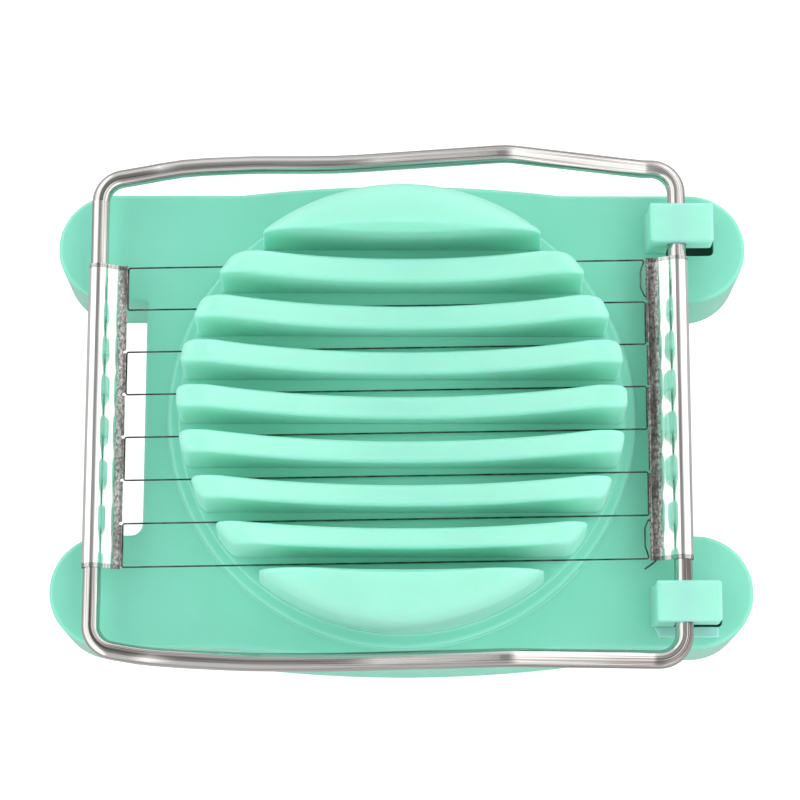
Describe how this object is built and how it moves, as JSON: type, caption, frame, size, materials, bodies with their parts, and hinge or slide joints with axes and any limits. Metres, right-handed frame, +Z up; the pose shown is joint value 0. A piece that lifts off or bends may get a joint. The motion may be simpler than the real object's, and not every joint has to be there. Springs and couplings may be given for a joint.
{
  "type": "egg slicer",
  "caption": "Egg slicer with a moulded base, parallel ribs dished to seat an egg, and a bent rod frame of fine cutting wires that swings up on two snap clips.",
  "frame": {"origin": "on the surface it stands on, under the middle of the round dish", "axes": "+X towards the hinge side, +Y across the ribs away from the viewer, +Z up"},
  "size_m": [0.127, 0.0944, 0.0362],
  "materials": {
    "base_plastic": "moulded mint green plastic, satin gloss, slightly translucent, with fine dark specks",
    "frame_rod": "bright drawn steel rod with faint lengthwise drawing marks",
    "holder_sheet": "thin rolled steel sheet, bright with a grainy flange",
    "cutting_wire": "fine drawn steel wire"
  },
  "bodies": {
    "base": {"deck": "base_plastic", "skirt_front": "base_plastic", "skirt_rear": "base_plastic", "skirt_hinge_side": "base_plastic", "skirt_handle_side": "base_plastic", "lobe_skirt_hinge_front": "base_plastic", "lobe_skirt_hinge_rear": "base_plastic", "lobe_skirt_handle_front": "base_plastic", "lobe_skirt_handle_rear": "base_plastic", "dish_pad": "base_plastic", "hinge_clip_front": "base_plastic", "hinge_clip_rear": "base_plastic", "cutting_rib_1": "base_plastic", "cutting_rib_2": "base_plastic", "cutting_rib_3": "base_plastic", "cutting_rib_4": "base_plastic", "cutting_rib_5": "base_plastic", "cutting_rib_6": "base_plastic", "cutting_rib_7": "base_plastic", "cutting_rib_8": "base_plastic", "cutting_rib_9": "base_plastic"},
    "frame": {"hinge_bar": "frame_rod", "handle_bar": "frame_rod", "arm_front": "frame_rod", "arm_rear": "frame_rod", "wire_holder_hinge": "holder_sheet", "wire_holder_handle": "holder_sheet", "cutting_wire_1": "cutting_wire", "cutting_wire_2": "cutting_wire", "cutting_wire_3": "cutting_wire", "cutting_wire_4": "cutting_wire", "cutting_wire_5": "cutting_wire", "cutting_wire_6": "cutting_wire", "cutting_wire_7": "cutting_wire", "cutting_wire_8": "cutting_wire", "wire_turns_hinge": "cutting_wire", "wire_turns_handle": "cutting_wire"}
  },
  "joints": [
    {"name": "frame_hinge", "type": "hinge", "parent": "base", "child": "frame", "pos_m": [0.0503, 0, 0.0226], "axis": [0, 1, 0], "range_deg": [0, 180]}
  ]
}
